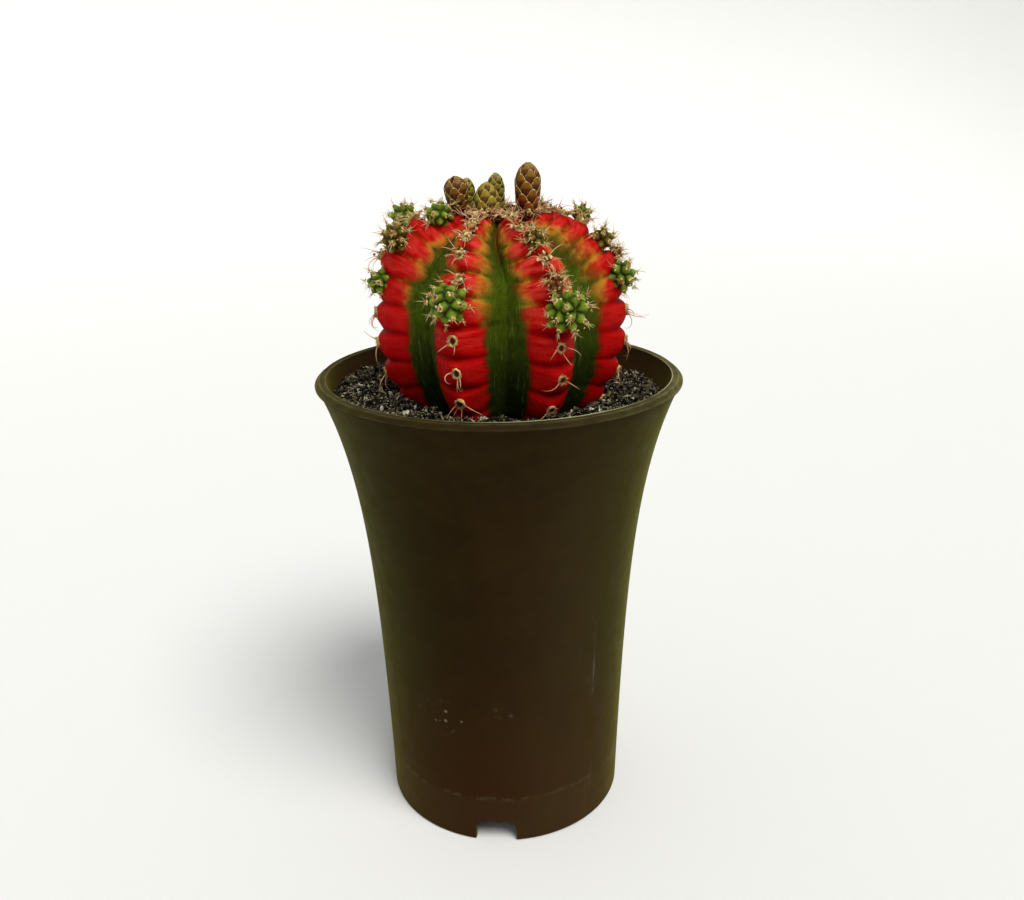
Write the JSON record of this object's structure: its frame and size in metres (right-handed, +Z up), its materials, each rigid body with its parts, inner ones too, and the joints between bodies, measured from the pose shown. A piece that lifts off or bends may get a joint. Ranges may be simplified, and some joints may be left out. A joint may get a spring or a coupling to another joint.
{
  "type": "potted moon cactus",
  "caption": "Red and green ribbed globe cactus with small green offsets, spine clusters and flower buds, growing in dark grit in a tall flared plastic pot.",
  "frame": {"origin": "centre of the pot's foot ring, on the surface that the pot stands on", "axes": "+Z up the pot and the plant; the plant's front, with its two large offsets, faces -Y; +X is to the right of that view"},
  "size_m": [0.085, 0.085, 0.1567],
  "materials": {
    "pot_plastic": "satin",
    "grit": "matte",
    "globe_skin": "satin",
    "offset_skin": "satin",
    "bud_scales": "matte",
    "wool": "matte",
    "spines": "matte"
  },
  "bodies": {
    "root": {"crown_wool": "wool", "flower_bud_front": "bud_scales", "flower_bud_left": "bud_scales", "flower_bud_left_rear": "bud_scales", "flower_bud_rear": "bud_scales", "flower_bud_right": "bud_scales", "offset_back": "offset_skin", "offset_back_left_low": "offset_skin", "offset_back_left_shoulder": "offset_skin", "offset_back_left_top": "offset_skin", "offset_back_right_low": "offset_skin", "offset_back_right_top": "offset_skin", "offset_back_top": "offset_skin", "offset_crown": "offset_skin", "offset_front_left": "offset_skin", "offset_front_right": "offset_skin", "offset_front_right_top": "offset_skin", "offset_front_right_upper": "offset_skin", "offset_left": "offset_skin", "offset_left_shoulder": "offset_skin", "offset_left_top": "offset_skin", "offset_right": "offset_skin", "offset_right_shoulder": "offset_skin", "offset_right_upper": "offset_skin", "plant_body": "globe_skin", "pot": "pot_plastic", "potting_mix": "grit", "spines_back_1": "spines", "spines_back_2": "spines", "spines_back_3": "spines", "spines_back_5": "spines", "spines_back_left_1": "spines", "spines_back_left_2": "spines", "spines_back_left_4": "spines", "spines_back_left_5": "spines", "spines_back_right_1": "spines", "spines_back_right_2": "spines", "spines_back_right_4": "spines", "spines_back_right_5": "spines", "spines_front_left_1": "spines", "spines_front_left_2": "spines", "spines_front_left_3": "spines", "spines_front_left_5": "spines", "spines_front_left_6": "spines", "spines_front_left_7": "spines", "spines_front_right_1": "spines", "spines_front_right_2": "spines", "spines_front_right_3": "spines", "spines_front_right_6": "spines", "spines_left_1": "spines", "spines_left_2": "spines", "spines_left_3": "spines", "spines_left_5": "spines", "spines_right_1": "spines", "spines_right_2": "spines", "spines_right_3": "spines"}
  },
  "joints": []
}
